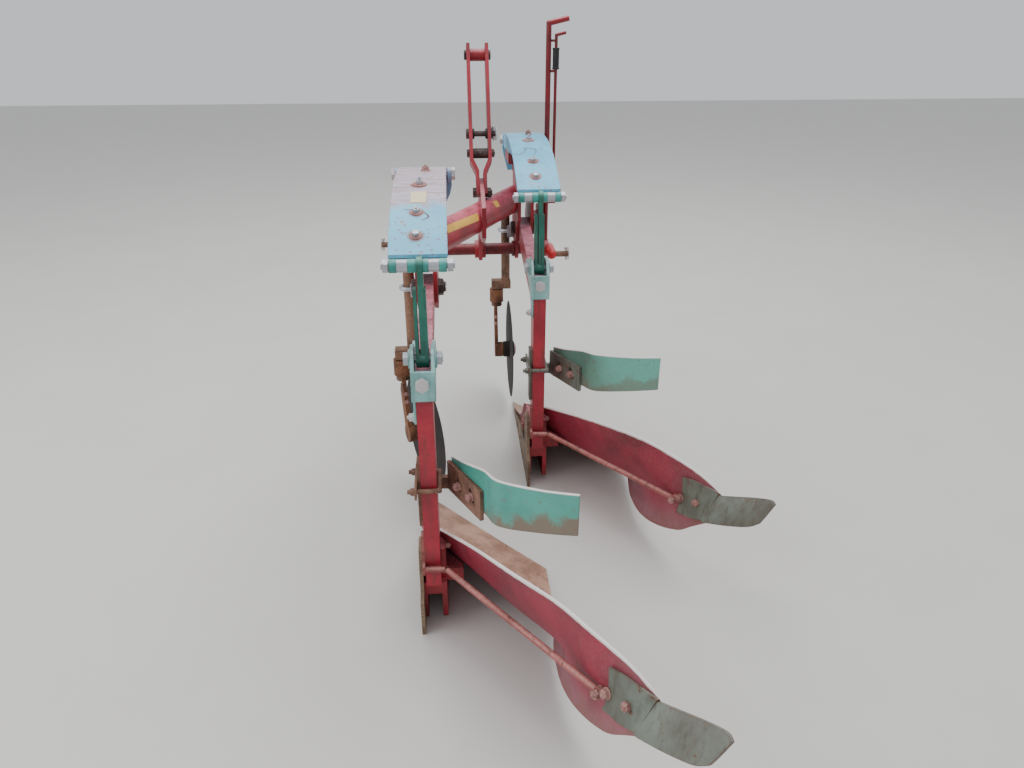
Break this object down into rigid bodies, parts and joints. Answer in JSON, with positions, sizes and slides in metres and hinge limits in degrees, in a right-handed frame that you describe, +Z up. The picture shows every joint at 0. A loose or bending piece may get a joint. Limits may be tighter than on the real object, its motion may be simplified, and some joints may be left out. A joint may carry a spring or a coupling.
{
  "type": "mounted mouldboard plough",
  "caption": "Mounted mouldboard plough: staggered bodies on leaf-spring release heads, disc coulters, trash boards, cranked cross shaft with hand lever and a hitch mast.",
  "frame": {"origin": "middle of the bounding box on the ground plane", "axes": "+Y forward, the direction of travel; +X to the right, the furrow side; +Z up"},
  "size_m": [1.1082, 2.2912, 1.5253],
  "materials": {
    "head_red": "weathered red paint",
    "beam_red": "worn crimson paint",
    "tube_red": "dull red paint",
    "mast_red": "dark red paint",
    "lever_red": "dark red paint",
    "board_red": "worn crimson paint over steel",
    "stay_red": "faded red paint",
    "leaf_blue": "faded sky blue paint with rust",
    "link_green": "dark green paint",
    "bracket_mint": "worn mint paint",
    "trash_turquoise": "turquoise paint with rust",
    "tail_grey": "worn grey green steel",
    "worn_steel": "worn dull steel",
    "dark_steel": "dark brown steel",
    "rusty_steel": "brown rust",
    "dark_bolt": "dark weathered steel",
    "galvanised": "dull zinc"
  },
  "bodies": {
    "frame": {"main_tube": "tube_red", "headstock_plate": "head_red", "mast_bar_left": "mast_red", "mast_bar_right": "mast_red", "mast_spacer": "mast_red", "top_link_pin": "galvanised", "mast_bolts": "dark_bolt", "quadrant": "head_red", "rear_head": "head_red", "rear_pivot_bolt": "dark_bolt", "rear_beam": "beam_red", "rear_main_leaf": "leaf_blue", "rear_short_leaves": "leaf_blue", "rear_hinge_bracket": "link_green", "rear_hinge_rollers": "worn_steel", "rear_hinge_pin": "dark_bolt", "rear_link": "link_green", "rear_link_bracket": "bracket_mint", "rear_link_bolt": "galvanised", "rear_frog": "head_red", "rear_landside": "worn_steel", "rear_share": "rusty_steel", "rear_mouldboard": "board_red", "rear_tail_piece": "tail_grey", "rear_stay_rod": "stay_red", "rear_trash_bracket": "rusty_steel", "rear_trash_board": "trash_turquoise", "rear_coulter_stem": "rusty_steel", "rear_coulter_clamp": "galvanised", "front_head": "head_red", "front_pivot_bolt": "dark_bolt", "front_beam": "beam_red", "front_main_leaf": "leaf_blue", "front_short_leaves": "leaf_blue", "front_hinge_bracket": "link_green", "front_hinge_rollers": "worn_steel", "front_hinge_pin": "dark_bolt", "front_link": "link_green", "front_link_bracket": "bracket_mint", "front_link_bolt": "galvanised", "front_frog": "head_red", "front_landside": "worn_steel", "front_share": "rusty_steel", "front_mouldboard": "board_red", "front_tail_piece": "tail_grey", "front_stay_rod": "stay_red", "front_trash_bracket": "rusty_steel", "front_trash_board": "trash_turquoise", "front_coulter_stem": "rusty_steel", "front_coulter_clamp": "galvanised"},
    "cross_shaft": {"cross_shaft": "tube_red", "hand_lever": "lever_red", "latch_rod": "lever_red"},
    "rear_coulter": {"rear_coulter_arm": "rusty_steel"},
    "front_coulter": {"front_coulter_arm": "rusty_steel"},
    "rear_disc": {"rear_disc": "dark_steel"},
    "front_disc": {"front_disc": "dark_steel"}
  },
  "joints": [
    {"name": "cross_shaft_turn", "type": "hinge", "parent": "frame", "child": "cross_shaft", "pos_m": [0.016, 0.907, 0.698], "axis": [1, 0, 0], "range_deg": [-20, 20]},
    {"name": "rear_coulter_swivel", "type": "hinge", "parent": "frame", "child": "rear_coulter", "pos_m": [-0.439, 0.302, 0.475], "axis": [0, 0, 1], "range_deg": [-45, 5]},
    {"name": "front_coulter_swivel", "type": "hinge", "parent": "frame", "child": "front_coulter", "pos_m": [-0.084, 1.005, 0.475], "axis": [0, 0, 1], "range_deg": [-25, 25]},
    {"name": "rear_disc_spin", "type": "hinge", "parent": "rear_coulter", "child": "rear_disc", "pos_m": [-0.3732, 0.26742, 0.252], "axis": [0.9397, 0.342, 0], "continuous": true},
    {"name": "front_disc_spin", "type": "hinge", "parent": "front_coulter", "child": "front_disc", "pos_m": [-0.034, 0.95, 0.252], "axis": [1, 0, 0], "continuous": true}
  ]
}
